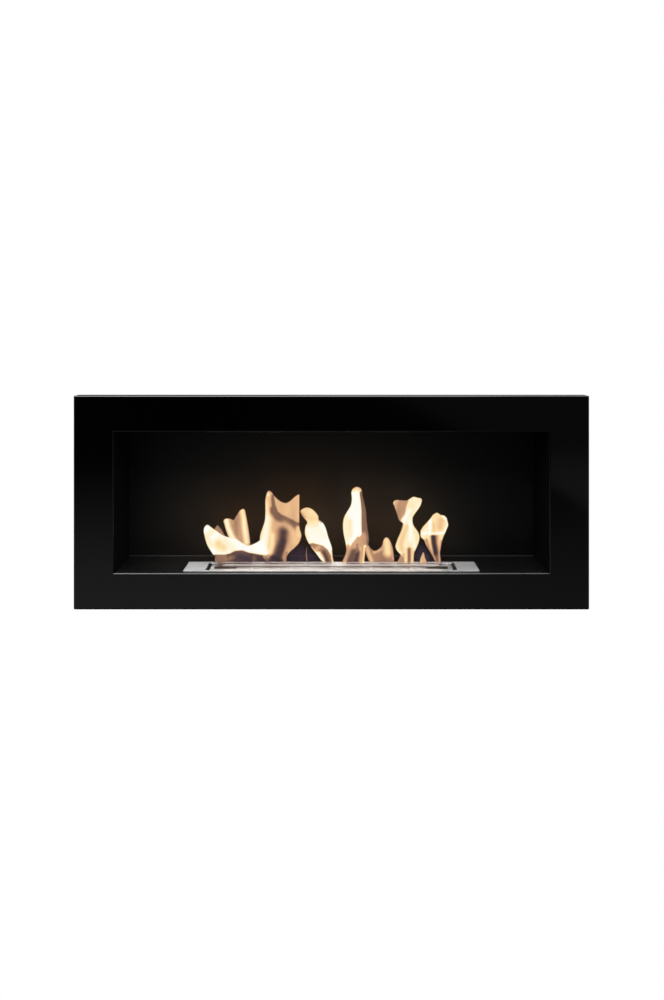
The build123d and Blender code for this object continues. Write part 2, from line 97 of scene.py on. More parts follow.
# %% [markdown]
# ## Small helpers for shader nodes
#
# A procedural finish is a small network of nodes. These helpers add a node, set or link its
# inputs in one line, and hand back the output, so that each finish below reads like a recipe.


# %% Node helpers
def add_node(tree, kind, inputs=None, **settings):
    """Adds a node. Each input is given a value, or is linked to another node's output."""
    node = tree.nodes.new(kind)
    for name, value in settings.items():
        setattr(node, name, value)
    for key, value in (inputs or {}).items():
        if isinstance(value, bpy.types.NodeSocket):
            tree.links.new(value, node.inputs[key])
        else:
            node.inputs[key].default_value = value
    return node


def maths(tree, operation, first, *others, clamp=False):
    """Works the operation on the first value with each of the others in turn."""
    for other in others or (0.0,):
        first = add_node(tree, "ShaderNodeMath", {0: first, 1: other},
                         operation=operation, use_clamp=clamp).outputs[0]
    return first


def remap(tree, value, low, high, to_low=0.0, to_high=1.0):
    """Turns low..high into to_low..to_high with soft ends."""
    node = add_node(tree, "ShaderNodeMapRange",
                    {"Value": value, "From Min": low, "From Max": high, "To Min": to_low, "To Max": to_high},
                    interpolation_type="SMOOTHSTEP")
    return node.outputs["Result"]


def mix_colour(tree, share, first, second):
    """first where share is 0, second where it is 1. Inputs 6 and 7 are the node's colours."""
    node = add_node(tree, "ShaderNodeMix", {0: share, 6: first, 7: second}, data_type="RGBA")
    return node.outputs[2]


def ramp(tree, value, stops):
    """A colour ramp. Each stop is a position and a colour."""
    node = add_node(tree, "ShaderNodeValToRGB", {"Fac": value})
    elements = node.color_ramp.elements
    while len(elements) < len(stops):
        elements.new(0.5)
    for element, (position, colour) in zip(elements, stops):
        element.position = position
        element.color = (*colour, 1)
    return node.outputs["Color"]


def place(tree, stretch=(1, 1, 1), centre=(0, 0, 0)):
    """Object coordinates, moved so that centre is the middle, and then multiplied by stretch."""
    coordinates = add_node(tree, "ShaderNodeTexCoord").outputs["Object"]
    moved = add_node(tree, "ShaderNodeVectorMath", {0: coordinates, 1: centre}, operation="SUBTRACT")
    return add_node(tree, "ShaderNodeMapping", {"Vector": moved.outputs[0], "Scale": stretch}).outputs[0]


def grain(tree, scale, detail=3.0, stretch=(1, 1, 1), roughness=0.5):
    """Cloudy noise. Scale is how many blobs there are to the metre."""
    return add_node(tree, "ShaderNodeTexNoise",
                    {"Vector": place(tree, stretch), "Scale": scale, "Detail": detail,
                     "Roughness": roughness}).outputs["Fac"]


def uneven(tree, noise, low, high):
    """Stretches a noise, which hardly leaves 0.3 to 0.7, to a value from low to high."""
    return remap(tree, noise, 0.3, 0.7, low, high)


def bump(tree, height, strength, distance):
    """Tips the surface as if it rose and fell by the distance."""
    return add_node(tree, "ShaderNodeBump",
                    {"Height": height, "Strength": strength, "Distance": distance}).outputs["Normal"]


def new_finish(name, **constants):
    """A material with its Principled shader. Constants are set on the shader's own sockets."""
    material = bpy.data.materials.new(name)
    material.use_nodes = True
    tree = material.node_tree
    shader = tree.nodes["Principled BSDF"]
    for label, value in constants.items():
        shader.inputs[label.replace("_", " ")].default_value = value
    return material, tree, shader


def bare_tree(owner):
    """The node tree of a material or a world, with nothing in it."""
    owner.use_nodes = True
    owner.node_tree.nodes.clear()
    return owner.node_tree


def drive(tree, shader, **sockets):
    """Links a colour or a value to each named socket of the shader."""
    for label, value in sockets.items():
        tree.links.new(value, shader.inputs[label.replace("_", " ")])


def coat(material, *names):
    """Gives each named metal piece this finish."""
    for name in names:
        slots = nodes[name].data.materials
        slots.clear()
        slots.append(material)
    print(material.name, "on", ", ".join(names))


# %% [markdown]
# ## Gloss enamel on the mask
#
# The mask is stoved in a high-gloss black. Such a coat is almost a mirror, so most of what is seen in it is the room.
# Two things keep it from looking like glass: a faint orange peel a few millimetres across, and a slight change of
# gloss where it has been wiped. Along the lower edge of the opening a thin grey line is painted into the coat's
# colour. It is a painted highlight, in place of the reflection on the lip's fold.

# %% Gloss enamel
enamel, tree, shader = new_finish("gloss_enamel", IOR=1.5, Specular_IOR_Level=0.5)
wiped = grain(tree, 5, 4)
black = mix_colour(tree, wiped, (0.0002, 0.0002, 0.00022, 1), (0.0007, 0.0007, 0.0008, 1))
painted_highlight_grey = (0.09, 0.09, 0.088, 1)
lower_border, half_opening = 63.5 * mm, 380 * mm
lip_corner = (0, mask_low.y, mask_low.z + lower_border)
from_lip = add_node(tree, "ShaderNodeSeparateXYZ", {0: place(tree, centre=lip_corner)}).outputs
# Painted highlight: the base colour turns grey along the lip's fold, in place of its reflection.
painted_highlight = maths(
    tree, "MULTIPLY",
    remap(tree, from_lip["Z"], -0.9 * mm, -0.2 * mm),          # not below the lip
    remap(tree, from_lip["Z"], 0.2 * mm, 0.8 * mm, 1.0, 0.0),  # nor above it
    remap(tree, maths(tree, "ABSOLUTE", from_lip["X"]), half_opening - 4 * mm, half_opening - 1 * mm, 1.0, 0.0),
    remap(tree, from_lip["Y"], 2.2 * mm, 3.6 * mm, 1.15, 0.0))  # and only in front
drive(tree, shader, Base_Color=mix_colour(tree, painted_highlight, black, painted_highlight_grey),
      Roughness=uneven(tree, wiped, 0.045, 0.085),
      Normal=bump(tree, grain(tree, 260, 2), 0.06, 0.2 * mm))
coat(enamel, "front_frame")

# %% [markdown]
# ## Heat-proof paint in the firebox
#
# Behind the mask the sheet is sprayed with a satin paint that stands the heat, with a fine dry tooth. Light and shade
# are painted into it. The paint is lighter all round the burner as painted firelight and darker further away as
# painted shade. The back wall has a brown patch of painted glow where the flames light it. How far a point is from
# the middle of each patch says how strong it is there. The distance is stretched, so that a patch is longer along one
# axis than along another.

# %% Heat-proof paint
burner_low, burner_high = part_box("container_top")
slot_y = (burner_low.y + burner_high.y) / 2
slot_z = burner_high.z

heat_paint, tree, shader = new_finish("heat_proof_paint", IOR=1.5, Specular_IOR_Level=0.22)
fire = (-60 * mm, slot_y, slot_z + 50 * mm)
painted_glow_centre = (-40 * mm, slot_y + 60 * mm, slot_z + 70 * mm)


def away_from(tree, centre, stretch):
    """How far a point is from a centre, with each axis stretched."""
    return add_node(tree, "ShaderNodeVectorMath", {0: place(tree, stretch, centre)},
                    operation="LENGTH").outputs["Value"]


# Painted glow: a warm brown patch on the back wall stands in for the flames' light falling on it.
painted_glow_brown = (0.044, 0.0200, 0.0045, 1)
painted_glow = maths(tree, "MULTIPLY",
              remap(tree, away_from(tree, painted_glow_centre, (2.8, 9.0, 5.0)), 0.15, 1.0, 1.0, 0.0), grain(tree, 9, 4))
# Painted firelight and shade: the paint is lighter round the burner and near black further away, towards the sides
# and corners.
painted_firelight = remap(tree, away_from(tree, fire, (2.3, 0.6, 2.6)), 0.35, 0.95, 1.0, 0.0)
mottled = mix_colour(tree, grain(tree, 7, 5), (0.0070, 0.0070, 0.0070, 1), (0.0100, 0.0100, 0.0098, 1))
paint = mix_colour(tree, painted_firelight, (0.0020, 0.0020, 0.0020, 1), mottled)
drive(tree, shader, Base_Color=mix_colour(tree, painted_glow, paint, painted_glow_brown),
      Roughness=uneven(tree, grain(tree, 30, 4), 0.40, 0.52),
      Normal=bump(tree, grain(tree, 1500, 3), 0.25, 0.1 * mm))
coat(heat_paint, "firebox_liner", "firebox_cheek_left", "firebox_cheek_right")

# %% [markdown]
# ## Powder coat on the housing
#
# The housing and its back panel are never seen once the fireplace hangs, so they get a tough
# matt powder coat. Its texture is coarser than paint: melted grains about half a millimetre
# across, which break up any reflection.

# %% Powder coat
powder, tree, shader = new_finish("matt_powder_coat", IOR=1.5, Specular_IOR_Level=0.35)
drive(tree, shader,
      Base_Color=mix_colour(tree, grain(tree, 9, 5), (0.020, 0.020, 0.021, 1), (0.033, 0.033, 0.034, 1)),
      Roughness=uneven(tree, grain(tree, 40, 3), 0.55, 0.72),
      Normal=bump(tree, grain(tree, 1900, 4, roughness=0.7), 0.5, 0.25 * mm))
coat(powder, "rear_housing", "back_panel")

# %% [markdown]
# ## Galvanised and zinc-plated steel
#
# The rails, brackets and trough are cut from galvanised sheet. Zinc freezes on it in large
# crystals, the spangle, and each crystal is a slightly different grey and a different gloss.
# Voronoi cells are just such a pattern: every cell has a random colour of its own. Studs, nuts
# and rivets are zinc plated instead, which is finer and brighter.

# %% Galvanised sheet
galvanised, tree, shader = new_finish("galvanised_sheet", Metallic=1.0)
spangle = add_node(tree, "ShaderNodeTexVoronoi", {"Vector": place(tree), "Scale": 95.0}).outputs["Color"]
crystal = add_node(tree, "ShaderNodeSeparateColor", {0: spangle}).outputs[0]
zinc_greys = [(0.0, (0.42, 0.44, 0.46)), (0.5, (0.53, 0.55, 0.57)), (1.0, (0.66, 0.68, 0.70))]
drive(tree, shader, Base_Color=ramp(tree, crystal, zinc_greys),
      Roughness=remap(tree, crystal, 0.0, 1.0, 0.48, 0.30),
      Normal=bump(tree, grain(tree, 240, 4), 0.10, 0.2 * mm))
coat(galvanised, "liner_brackets_upper", "liner_brackets_lower", "burner_well", "hanger_rail", "wall_rail")

# %% Zinc plate
zinc, tree, shader = new_finish("zinc_plate", Metallic=1.0)
drive(tree, shader,
      Base_Color=mix_colour(tree, grain(tree, 120, 4), (0.55, 0.56, 0.58, 1), (0.70, 0.70, 0.69, 1)),
      Roughness=uneven(tree, grain(tree, 300, 3), 0.24, 0.38))
coat(zinc, "frame_studs", "frame_nuts", "hanger_rivets")

# %% [markdown]
# ## Black screws and rubber
#
# The back panel's screws are passivated: a chemical bath turns their zinc almost black, and it
# stays a metal under it. The bumpers are moulded rubber, which is dull.

# %% Black passivated screws
passivated, tree, shader = new_finish("black_passivated_steel", Metallic=0.85)
drive(tree, shader,
      Base_Color=mix_colour(tree, grain(tree, 400, 3), (0.018, 0.018, 0.020, 1), (0.040, 0.040, 0.043, 1)),
      Roughness=uneven(tree, grain(tree, 250, 3), 0.34, 0.50))
coat(passivated, "back_panel_screws")

# %% Moulded rubber
rubber, tree, shader = new_finish("moulded_rubber", IOR=1.45, Specular_IOR_Level=0.3)
drive(tree, shader,
      Base_Color=mix_colour(tree, grain(tree, 150, 4), (0.014, 0.014, 0.014, 1), (0.030, 0.029, 0.028, 1)),
      Roughness=uneven(tree, grain(tree, 90, 3), 0.70, 0.86),
      Normal=bump(tree, grain(tree, 1200, 3), 0.3, 0.1 * mm))
coat(rubber, "wall_bumpers")

# %% [markdown]
# ## Brushed stainless round the burner
#
# The surround is brushed along its length. The scratches are long in X and very narrow in Y,
# so the same noise is squeezed until its blobs are streaks. They tip the surface to the front
# and back, which spreads a lamp's reflection into a pale band: that is why the plate looks
# bright from almost any height. The anisotropy does the same for scratches too fine to draw.

# %% Brushed stainless
brush_stretch = (0.012, 1.0, 1.0)


def stainless(name, dark, light, roughness, scratch_scale):
    """Steel between two greys, from streaks, clouds and speckle. Scratch scale counts streaks to the metre."""
    material, tree, shader = new_finish(name, Metallic=1.0, Anisotropic=0.85)
    scratches = grain(tree, scratch_scale, 4, brush_stretch, 0.6)
    layers = ((scratches, 0.4), (grain(tree, 18, 4), 0.3), (grain(tree, 800, 2, (0.4, 1.0, 1.0)), 0.3))
    shade = maths(tree, "ADD", *(maths(tree, "MULTIPLY", layer, share) for layer, share in layers))
    drive(tree, shader, Base_Color=mix_colour(tree, remap(tree, shade, 0.35, 0.65), dark, light),
          Roughness=uneven(tree, scratches, roughness - 0.06, roughness + 0.06),
          Normal=bump(tree, scratches, 0.20, 0.2 * mm),
          Tangent=add_node(tree, "ShaderNodeCombineXYZ", {"Y": 1.0}).outputs[0])
    return material, tree, shader


brushed, tree, shader = stainless("brushed_stainless", dark=(0.365, 0.363, 0.360, 1), light=(0.535, 0.532, 0.528, 1),
                                  roughness=0.46, scratch_scale=2600)
coat(brushed, "burner_surround")

# %% [markdown]
# The fuel container is the same steel with a finer satin. Where the slot's edges get hottest
# the steel keeps a tint: straw at first, then rose. It fades out within about a centimetre.

# %% Satin stainless with a heat tint
satin, tree, shader = stainless("satin_stainless", dark=(0.45, 0.446, 0.442, 1), light=(0.60, 0.596, 0.592, 1),
                                roughness=0.42, scratch_scale=3400)
half_slot, heat_reach = 6 * mm, 9 * mm
plain_steel = shader.inputs["Base Color"].links[0].from_socket
across_slot = add_node(tree, "ShaderNodeSeparateXYZ", {0: place(tree, centre=(0, slot_y, 0))}).outputs["Y"]
from_edge = maths(tree, "SUBTRACT", maths(tree, "ABSOLUTE", across_slot), half_slot)
heat = maths(tree, "MULTIPLY", remap(tree, from_edge, 0.0, heat_reach, 1.0, 0.0), grain(tree, 22, 3, (1, 0.3, 1)))
tint = ramp(tree, heat, [(0.0, (1.0, 1.0, 1.0)), (0.3, (1.0, 0.96, 0.93)), (0.7, (0.98, 0.91, 0.91))])
tinted = add_node(tree, "ShaderNodeMix", {0: 1.0, 6: plain_steel, 7: tint}, data_type="RGBA", blend_type="MULTIPLY")
drive(tree, shader, Base_Color=tinted.outputs[2])
coat(satin, "container_tub", "container_top", "shutter", "shutter_knob", "shutter_rivets")

# %% [markdown]
# ## Ceramic wool
#
# The wool soaks up the fuel so that it can't slop. It is a felt of white ceramic fibres. Long thin noise in two
# crossing directions gives the fibres, and a coarser one the tufts. It is given a very faint warm glow, which is
# painted light in place of the fire's light on it.

# %% Ceramic wool finish
# The emission is painted light: a faint warm glow in place of the fire's light on the wool.
wool_finish, tree, shader = new_finish("ceramic_wool", Roughness=0.95, Specular_IOR_Level=0.2,
                                       Emission_Color=(1.0, 0.88, 0.84, 1), Emission_Strength=0.02)
fibres = maths(tree, "MAXIMUM", grain(tree, 900, 3, (0.12, 1, 1), 0.7), grain(tree, 900, 3, (1, 0.12, 1), 0.7))
tufts = maths(tree, "ADD", grain(tree, 60, 4), 0.5)
wool_greys = [(0.25, (0.30, 0.28, 0.26)), (0.55, (0.52, 0.50, 0.47)), (0.8, (0.68, 0.66, 0.63))]
drive(tree, shader, Base_Color=ramp(tree, maths(tree, "MULTIPLY", fibres, tufts), wool_greys),
      Normal=bump(tree, fibres, 0.8, 0.6 * mm))
coat(wool_finish, "ceramic_wool")

# %% [markdown]
# ## Turning small round pieces
#
# Screws, studs, rivets and knobs are all turned, so one way serves them all. A disc is added,
# and its face is extruded up and scaled, again and again, as a lathe tool would follow the
# profile. Each is modelled once, standing on Z at the origin, and is then copied to the places
# where the measured metalwork has its plain stand-ins.


# %% Helpers for turned pieces
def turned(name, steps, sides=32):
    """A closed round piece. Each step of its profile is a height and a radius, in millimetres."""
    let_go()
    height, radius = (v * mm for v in steps[0])
    bpy.ops.mesh.primitive_circle_add(vertices=sides, radius=radius, fill_type="NGON",
                                      location=(0, 0, height), enter_editmode=True)
    for next_height, next_radius in ((h * mm, r * mm) for h, r in steps[1:]):
        bpy.ops.mesh.extrude_region_move(TRANSFORM_OT_translate={"value": (0, 0, next_height - height)})
        growth = next_radius / radius
        bpy.ops.transform.resize(value=(growth, growth, 1), center_override=(0, 0, next_height))
        height, radius = next_height, next_radius
    return tidy_piece(name)


def tidy_piece(name, smooth_below=35):
    """Ends edit mode: faces look outwards, the object's place goes into its mesh, and it is smoothed."""
    bpy.ops.mesh.select_all(action="SELECT")
    bpy.ops.mesh.normals_make_consistent(inside=False)
    bpy.ops.object.mode_set(mode="OBJECT")
    piece = bpy.context.object
    piece.name = name
    bpy.ops.object.transform_apply(location=True, rotation=True, scale=True)
    bpy.ops.object.shade_smooth_by_angle(angle=math.radians(smooth_below))
    return piece


def cut_out(piece, cutter):
    """Takes the cutter's shape out of the piece, and removes the cutter."""
    let_go()
    bpy.context.view_layer.objects.active = piece
    piece.select_set(True)
    modifier = piece.modifiers.new("cut", "BOOLEAN")
    modifier.object = cutter
    modifier.operation = "DIFFERENCE"
    modifier.solver = "EXACT"
    bpy.ops.object.modifier_apply(modifier="cut")
    bpy.data.objects.remove(cutter)


def solids_of(node, reach):
    """The box of each separate solid in a node: corners within reach of each other belong together."""
    groups = []
    for corner in sorted({tuple(round(c, 6) for c in v.co) for v in nodes[node].data.vertices}):
        home = next((g for g in groups if (Vector(corner) - g[0]).length < reach), None)
        if home is None:
            groups.append([Vector(corner)])
        else:
            home.append(Vector(corner))
    return [(Vector(map(min, *g)), Vector(map(max, *g))) for g in groups]


to_wall = Matrix.Rotation(-math.pi / 2, 4, "X")  # turns a piece's top towards the wall
upwards = Matrix.Identity(4)
fastener_reach = 14 * mm  # more than a fastener's own size, and less than the space between two


def fit_copies(master, node, body, material, boxes=None, turn=to_wall, head=None):
    """Copies the master to the near side of each plain solid, or with its head's top at the far side."""
    master.data.materials.append(material)
    boxes = boxes or solids_of(node, fastener_reach)
    for number, (low, high) in enumerate(boxes, 1):
        seat = (low + high) / 2
        if turn is upwards:
            seat.z = low.z
        else:
            seat.y = low.y if head is None else high.y - head
        copy = bpy.data.objects.new(f"{master.name}_{number}", master.data.copy())
        bpy.context.scene.collection.objects.link(copy)
        copy.data.transform(Matrix.Translation(seat) @ turn)
        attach(copy, body)
        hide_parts(node)
    print(master.name, "x", len(boxes))
    bpy.data.objects.remove(master)


# %% [markdown]
# ### The back panel's screws
#
# A pan head is a low dome. Its cross recess is cut by two thin blocks: a boolean is the plain
# way to say "this shape minus that one".

# %% Screws with a cross recess
screw = turned("pan_screw", [(-8.0, 0.9), (-7.0, 1.7), (0.0, 1.7), (0.0, 3.5), (0.5, 3.5), (1.2, 3.2),
                             (1.8, 2.5), (2.15, 1.4), (2.2, 0.5)])
screw_head = 2.2 * mm
recess_long, recess_short, recess_deep = 3.6 * mm, 0.7 * mm, 2.4 * mm
for size in ((recess_long, recess_short, recess_deep), (recess_short, recess_long, recess_deep)):
    bpy.ops.mesh.primitive_cube_add(size=1, location=(0, 0, screw_head), scale=size)
    cut_out(screw, bpy.context.object)
fit_copies(screw, "back_panel_screws", "casing", passivated, head=screw_head)

# %% [markdown]
# ### Threaded studs and their nuts
#
# The mask has no screw through its face. Studs are welded on behind it, and nuts hold the
# housing to them. The thread is a profile that goes in and out once every 0.7 mm. The nut
# starts as a six-sided cylinder, its upper and lower edges are bevelled, and it is bored.

# %% Studs
stud_length, thread_pitch, weld_height, tip_height = 10.0, 0.7, 0.8, 0.4
crest_radius, groove_radius, tip_radius = 2.0, 1.68, 1.4
stud_steps = [(0.0, crest_radius), (weld_height, crest_radius)]
for ridge in range(int((stud_length - weld_height - tip_height) / thread_pitch)):
    stud_steps += [(weld_height + (ridge + 0.5) * thread_pitch, groove_radius),
                   (weld_height + (ridge + 1) * thread_pitch, crest_radius)]
stud_steps.append((stud_length, tip_radius))
stud = turned("weld_stud", stud_steps, 20)
fit_copies(stud, "frame_studs", "casing", zinc)

# %% Nuts
nut_flats, nut_height, nut_bevel, bore_radius = 7.0, 3.2, 0.35, 2.05
let_go()
bpy.ops.mesh.primitive_cylinder_add(vertices=6, radius=nut_flats / 2 / math.cos(math.pi / 6) * mm,
                                    depth=nut_height * mm, location=(0, 0, nut_height / 2 * mm),
                                    enter_editmode=True)
bpy.ops.mesh.select_mode(type="FACE")
bpy.ops.mesh.select_all(action="DESELECT")
bpy.ops.object.mode_set(mode="OBJECT")
for face in bpy.context.object.data.polygons:
    face.select = abs(face.normal.z) > 0.9
bpy.ops.object.mode_set(mode="EDIT")
bpy.ops.mesh.bevel(offset=nut_bevel * mm, segments=2)
nut = tidy_piece("hex_nut", 25)
cut_out(nut, turned("bore", [(-1.0, bore_radius), (nut_height + 1.0, bore_radius)]))
fit_copies(nut, "frame_nuts", "casing", zinc)

# %% [markdown]
# ### Blind rivets, rubber bumpers, the knob and the guide rivets
#
# A blind rivet has a low dome with the broken mandrel sunk in its middle, and a fat tail that
# was squeezed out behind the sheets. A bumper tapers and has a dished end with the screw's
# hole. The knob is waisted, so that a hook can catch it.

# %% Blind rivets
rivet_grip = 2.7
rivet = turned("blind_rivet", [(-rivet_grip - 1.8, 1.2), (-rivet_grip - 1.2, 2.3), (-rivet_grip - 0.5, 3.0),
                               (-rivet_grip, 2.6), (-rivet_grip, 2.0), (0.0, 2.0), (0.0, 3.6), (0.3, 3.6),
                               (0.8, 3.0), (1.1, 2.1), (1.2, 1.3), (1.15, 1.0), (0.7, 0.9), (0.7, 0.2)], 28)
fit_copies(rivet, "hanger_rivets", "casing", zinc, head=1.2 * mm)

# %% Rubber bumpers
bumper = turned("wall_bumper", [(0.0, 9.6), (0.4, 10.0), (1.6, 9.85), (2.0, 9.4), (2.4, 9.4), (2.8, 9.7),
                                (9.2, 8.6), (9.8, 8.2), (10.0, 7.4), (9.9, 4.6), (9.0, 4.2), (6.5, 4.0),
                                (6.5, 1.9), (6.3, 0.3)], 48)
fit_copies(bumper, "wall_bumpers", "casing", rubber,
           boxes=solids_of("wall_bumpers", 30 * mm))

# %% Shutter knob and guide rivets
knob = turned("waisted_knob", [(0.0, 1.45), (1.0, 1.45), (1.0, 2.3), (1.25, 2.3), (1.6, 1.95), (2.2, 1.9),
                               (2.7, 2.5), (3.2, 3.35), (3.6, 3.5), (4.2, 3.45), (4.7, 3.0), (4.95, 2.0),
                               (5.0, 0.8)], 40)
fit_copies(knob, "shutter_knob", "shutter", satin,
           boxes=[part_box("shutter_knob")], turn=upwards)

guide = turned("guide_rivet", [(0.0, 1.7), (0.15, 1.9), (0.4, 1.9), (0.4, 1.0), (2.8, 1.0), (2.8, 1.9),
                               (3.1, 1.9), (3.4, 1.6), (3.55, 1.0), (3.6, 0.4)], 28)
fit_copies(guide, "shutter_rivets", "container", satin,
           boxes=solids_of("shutter_rivets", 10 * mm), turn=upwards)

# %% [markdown]
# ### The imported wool
#
# The wool begins as a block of the measured size. It is cut into small cells, and a displace
# modifier with a cloud texture pushes them in by up to 1.2 mm. The middle level is set to one,
# so this only ever sinks the felt and never swells it through the container's wall. Where the
# slot leaves its top free, the felt behind the middle is then raised in a low puff.

# %% Ceramic wool with a felted surface
wool_low, wool_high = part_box("ceramic_wool")
corner_share = 0.03  # in edit mode the block is still a unit cube, so a bevel is a share of each side
tuft_size, tuft_depth = 12 * mm, 1.2 * mm
let_go()
bpy.ops.mesh.primitive_cube_add(size=1, location=(wool_low + wool_high) / 2, scale=wool_high - wool_low,
                                enter_editmode=True)
bpy.ops.mesh.bevel(offset=corner_share, segments=2)
bpy.ops.mesh.select_all(action="SELECT")
bpy.ops.mesh.subdivide(number_cuts=24)
wool = tidy_piece("packed_wool", 60)
clouds = bpy.data.textures.new("felt_tufts", "CLOUDS")
clouds.noise_scale = tuft_size
felt = wool.modifiers.new("felt", "DISPLACE")
felt.texture = clouds
felt.strength = tuft_depth
felt.mid_level = 1.0
bpy.ops.object.modifier_apply(modifier="felt")

# %% The puff in the slot
puff_height, top_layer = 2.1 * mm, 1.5 * mm
puff_front, puff_back = 0.5, 10.0   # millimetres behind the slot's middle
front_slope, back_slope = 2.0, 3.0  # millimetres over which the puff rises and falls
for vertex in wool.data.vertices:
    if vertex.co.z > wool_high.z - top_layer:
        behind_middle = (vertex.co.y - slot_y) / mm
        rise = min(1.0, max(0.0, (behind_middle - puff_front) / front_slope))
        fall = min(1.0, max(0.0, (puff_back - behind_middle) / back_slope))
        vertex.co.z += puff_height * (rise * fall)
wool.data.materials.append(wool_finish)
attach(wool, "container")
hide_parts("ceramic_wool")
print("wool faces:", len(wool.data.polygons))

# %% [markdown]
# ## Flames
#
# A still photograph of an alcohol flame shows soft, wide veils with rounded tips, not spikes.
# Each veil is drawn as four edges: its left side, its crest, its right side and its root in the
# slot. A grid is rolled like paper into a flattened tube and pulled between those edges, so the
# outline is the drawn one and the middle is a few millimetres thick. That keeps the flame whole
# from every side, which a flat card would not be.


# %% Smooth edges from a few points
def along(points, share):
    """The point at a share of the way along a smooth line through the given points."""
    lengths = [0.0]
    for first, second in zip(points, points[1:]):
        lengths.append(lengths[-1] + math.dist(first, second))
    target = share * lengths[-1]
    i = max(k for k in range(len(points) - 1) if lengths[k] <= target + 1e-9)
    t = (target - lengths[i]) / (lengths[i + 1] - lengths[i])
    before = points[max(i - 1, 0)]
    after = points[min(i + 2, len(points) - 1)]
    return tuple(
        0.5 * (2 * b + (c - a) * t + (2 * a - 5 * b + 4 * c - d) * t ** 2 + (3 * b - a - 3 * c + d) * t ** 3)
        for a, b, c, d in zip(before, points[i], points[i + 1], after))


def between(left, right, crest, u, v):
    """A point of the veil: u runs from its left side to its right, v from its root to its crest."""
    root = [left[0][k] * (1 - u) + right[0][k] * u for k in (0, 1)]
    top, west, east = along(crest, u), along(left, v), along(right, v)
    return [
        (1 - v) * root[k] + v * top[k] + (1 - u) * west[k] + u * east[k]
        - (1 - u) * (1 - v) * left[0][k] - u * (1 - v) * right[0][k]
        - (1 - u) * v * left[-1][k] - u * v * right[-1][k]
        for k in (0, 1)]


def nearest_on_line(point, line):
    """How far a point is from a line of straight pieces, and on which hand: 1 is left, -1 is right."""
    nearest, hand = math.inf, 1
    for (ax, ay), (bx, by) in zip(line, line[1:]):
        dx, dy, px, py = bx - ax, by - ay, point[0] - ax, point[1] - ay
        t = min(1.0, max(0.0, (px * dx + py * dy) / max(dx * dx + dy * dy, 1e-9)))
        away = math.hypot(px - t * dx, py - t * dy)
        if away < nearest:
            nearest, hand = away, (1 if dx * py > dy * px else -1)
    return nearest, hand


# %% [markdown]
# How bright a veil is changes across it: cream where it is thick, tan where one sees through
# it, and a dull violet near the slot, where the fuel vapour has not yet burnt. That is painted
# on, as with a soft round brush. A stroke has its points, the brush's radius and the brightness
# it pulls the veil towards. Where a veil is folded over, the fold is crisp on one side only, so
# such a stroke also says on which hand of its line the paint may run out. The result is stored
# on the mesh as an attribute called warmth, and a second one, edge, says how many millimetres a
# point lies inside the outline. A soft side counts its millimetres shorter, and so fades wider.
#
# The veils ride on the fuel container.

# %% Build a veil
veil_columns, veil_rows = 56, 84
flame_root = -2.0  # millimetres from the burner's slotted top down to the fuel-soaked wool
crisp = 5.0        # millimetres over which paint ends at the crisp side of a fold
curl = 1.5         # millimetres by which a veil waves forwards and back
outline_steps = 30


def make_veil(name, left, crest, right, warmth, strokes=(), depth=0.0, thickness=6.0, phase=0.0,
              root=flame_root, soft=(1.0, 1.0, 1.0, 1.0)):
    """Points are millimetres: X from the slot's middle, and height. soft is for left, crest, right and root."""
    left = [(left[0][0], root), *left, crest[0]]
    right = [(right[0][0], root), *right, crest[-1]]
    let_go()
    bpy.ops.mesh.primitive_grid_add(x_subdivisions=2 * veil_columns, y_subdivisions=veil_rows, size=1)
    veil = bpy.context.object
    glow, edges = [], []
    outline = [([along(side, step / outline_steps) for step in range(outline_steps + 1)], softness)
               for side, softness in zip((left, crest, right, (left[0], right[0])), soft)]
    for vertex in veil.data.vertices:
        turn = (vertex.co.x + 0.5) * 2 * math.pi
        u, v = (1 - math.cos(turn)) / 2, vertex.co.y + 0.5
        x, height = between(left, right, crest, u, v)
        # It is closed at the crest and at the root, and fullest half way up; folds start above the root.
        swell = (1 - v) ** 0.3 * min(1.0, v * 12) ** 0.5 * (0.55 + 1.8 * v * (1 - v))
        fold = curl * math.sin(2 * math.pi * (1.3 * u + 0.9 * v) + phase) * min(1.0, v * 2.5)
        y = depth + fold - thickness * math.sin(turn) * swell
        vertex.co = Vector((x * mm, slot_y + y * mm, slot_z + height * mm))
        value = warmth
        for line, radius, target, *paint_hand in strokes:
            away, hand = nearest_on_line((x, height), line)
            if not paint_hand:
                brush = 1.0 - min(1.0, away / radius)
            else:
                brush = min(1.0, 2.0 - min(2.0, 2.0 * away / (radius if hand == paint_hand[0] else crisp)))
            value += (target - value) * brush * brush * (3 - 2 * brush)
        glow.append(value)
        edges.append(min(nearest_on_line((x, height), line)[0] * softness for line, softness in outline))
    for label, values in (("warmth", glow), ("edge", edges)):
        veil.data.attributes.new(label, "FLOAT", "POINT").data.foreach_set("value", values)
    bpy.ops.object.mode_set(mode="EDIT")
    bpy.ops.mesh.select_all(action="SELECT")
    bpy.ops.mesh.remove_doubles(threshold=0.02 * mm)
    veil = tidy_piece(name, 80)
    veil.data.materials.append(flame_finish)
    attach(veil, "container")
    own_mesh(veil)
    print(name, "faces:", len(veil.data.polygons))


# %% [markdown]
# The finish mixes a light-giving surface with a clear one. A flame has no skin to reflect the
# room, so nothing else is needed. Faint streaks rise through it. It is more orange in its
# outermost two millimetres and fades to nothing at the very edge, and it fades again towards
# the slot, because the first centimetre of an alcohol flame gives almost no light. The ramp
# goes from the violet of unburnt vapour over tan and orange to cream.

